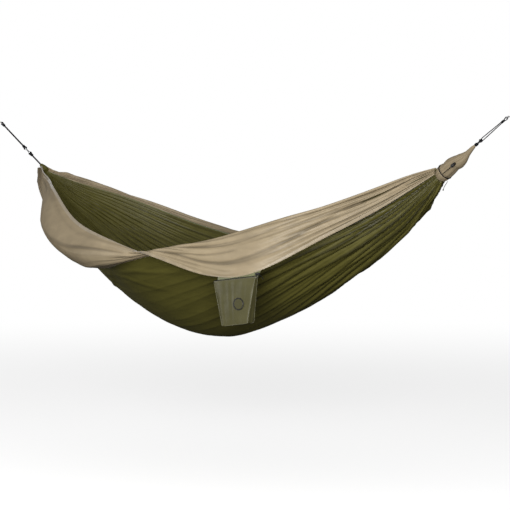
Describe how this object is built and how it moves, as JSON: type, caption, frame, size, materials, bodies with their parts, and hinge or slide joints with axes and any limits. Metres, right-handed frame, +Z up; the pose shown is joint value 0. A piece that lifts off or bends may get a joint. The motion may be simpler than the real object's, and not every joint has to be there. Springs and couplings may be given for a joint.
{
  "type": "camping hammock",
  "caption": "Gathered-end travel hammock of thin nylon with khaki side panels, a stuff sack sewn to its hem, rope suspension with a carabiner, and a drawcord sleeve, hung between anchor rings.",
  "frame": {"origin": "centre of the left anchor ring", "axes": "+X to the right anchor ring, +Y away from the side with the stuff sack, +Z up"},
  "size_m": [3.2154, 1.5004, 0.9929],
  "materials": {
    "steel": "bright drawn wire",
    "carabiner_steel": "plated, polished",
    "spring_steel": "plain wire",
    "rope": "braided black cord",
    "thin_cord": "thin black braided cord",
    "olive_cloth": "parachute nylon with a satin sheen",
    "khaki_cloth": "parachute nylon with a satin sheen",
    "seam_tape": "folded nylon seam with two rows of stitches",
    "khaki_hem": "folded nylon hem with two rows of stitches",
    "black_plastic": "moulded, fine texture",
    "badge": "plain printed round badge"
  },
  "bodies": {
    "anchors": {"anchor_ring_left": "steel", "anchor_ring_right": "steel"},
    "hammock": {"left_sling": "rope", "left_sling_knots": "rope", "carabiner_frame": "carabiner_steel", "end_rope_left": "rope", "end_rope_left_knot": "rope", "end_channel_left": "olive_cloth", "centre_panel": "olive_cloth", "side_panel_near": "khaki_cloth", "side_panel_far": "khaki_cloth", "seam_near": "seam_tape", "seam_far": "seam_tape", "hem_near": "khaki_hem", "hem_far": "khaki_hem", "end_sleeve": "khaki_cloth", "sleeve_band": "thin_cord", "sleeve_lock_cord": "thin_cord", "sleeve_lock_barrel": "black_plastic", "sleeve_lock_spring": "spring_steel", "sleeve_cord_tail": "thin_cord", "sleeve_tail_knot": "thin_cord", "end_rope_right": "rope", "neck_knot": "rope", "ball_knot": "rope", "right_sling": "rope", "right_sling_strands": "rope", "right_sling_whipping": "rope"},
    "gate": {"carabiner_gate": "carabiner_steel", "carabiner_gate_pin": "carabiner_steel", "carabiner_gate_spring": "carabiner_steel"},
    "sack": {"sack_body": "olive_cloth", "sack_top_strip": "seam_tape", "sack_mouth_hem": "olive_cloth", "sack_drawcord": "thin_cord", "sack_badge": "badge", "sack_lock_barrel": "black_plastic", "sack_lock_spring": "spring_steel", "sack_cord_tail": "thin_cord", "sack_tail_knot": "thin_cord"},
    "sleeve_button": {"sleeve_lock_button": "black_plastic"},
    "sack_button": {"sack_lock_button": "black_plastic"}
  },
  "joints": [
    {"name": "hammock_swing", "type": "hinge", "parent": "anchors", "child": "hammock", "pos_m": [0, 0, -0.00424], "axis": [1, 0, 0], "range_deg": [-25, 25]},
    {"name": "gate_hinge", "type": "hinge", "parent": "hammock", "child": "gate", "pos_m": [0.19879, -0.00909, -0.13006], "axis": [0.49, 0.5, 0.714], "range_deg": [0, 25], "stiffness_Nm_per_rad": 0.02, "springref_deg": -17.19},
    {"name": "sack_hinge", "type": "hinge", "parent": "hammock", "child": "sack", "pos_m": [2.243, -0.609, -0.658], "axis": [0.9766, 0.1722, 0.1288], "range_deg": [-45, 35]},
    {"name": "sleeve_button_press", "type": "slide", "parent": "hammock", "child": "sleeve_button", "axis": [-0.2391, 0.9063, 0.3485], "range_m": [0, 0.004], "stiffness_N_per_m": 400, "springref_m": -0.002},
    {"name": "sack_button_press", "type": "slide", "parent": "sack", "child": "sack_button", "axis": [-0.9766, -0.1722, -0.1288], "range_m": [0, 0.0028], "stiffness_N_per_m": 400, "springref_m": -0.002}
  ]
}
